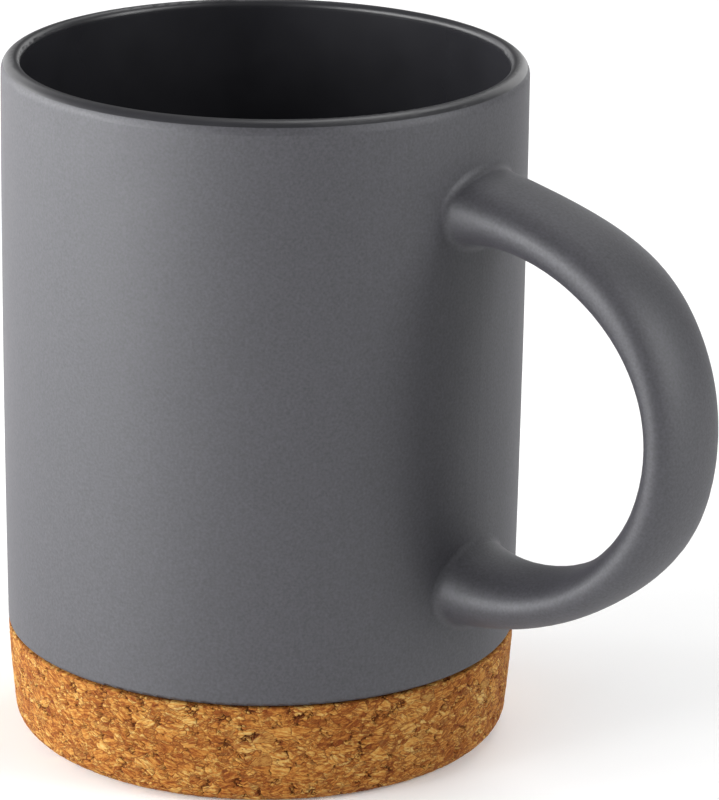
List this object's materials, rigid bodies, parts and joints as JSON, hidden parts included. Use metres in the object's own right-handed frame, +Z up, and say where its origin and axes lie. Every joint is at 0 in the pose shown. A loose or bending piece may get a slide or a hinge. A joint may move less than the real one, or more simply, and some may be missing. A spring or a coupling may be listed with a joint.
{
  "type": "mug",
  "caption": "Rigid straight-walled ceramic mug with a strap handle, gloss black lining and a glued cork base.",
  "frame": {"origin": "centre of the mug's round underside, in the plane it stands on", "axes": "+Z up through the mouth along the vessel's axis, +X from that axis towards the handle, +Y completes a right-handed frame"},
  "size_m": [0.1277, 0.0862, 0.1144],
  "materials": {
    "stoneware": "matte",
    "slip": "matte",
    "matte_grey_glaze": "matte",
    "gloss_black_glaze": "gloss",
    "adhesive": "satin",
    "cork": "matte"
  },
  "bodies": {
    "root": {"mug_body": "stoneware", "handle": "stoneware", "upper_handle_joint": "slip", "lower_handle_joint": "slip", "outer_glaze": "matte_grey_glaze", "inner_glaze": "gloss_black_glaze", "base_adhesive": "adhesive", "cork_base": "cork"}
  },
  "joints": []
}
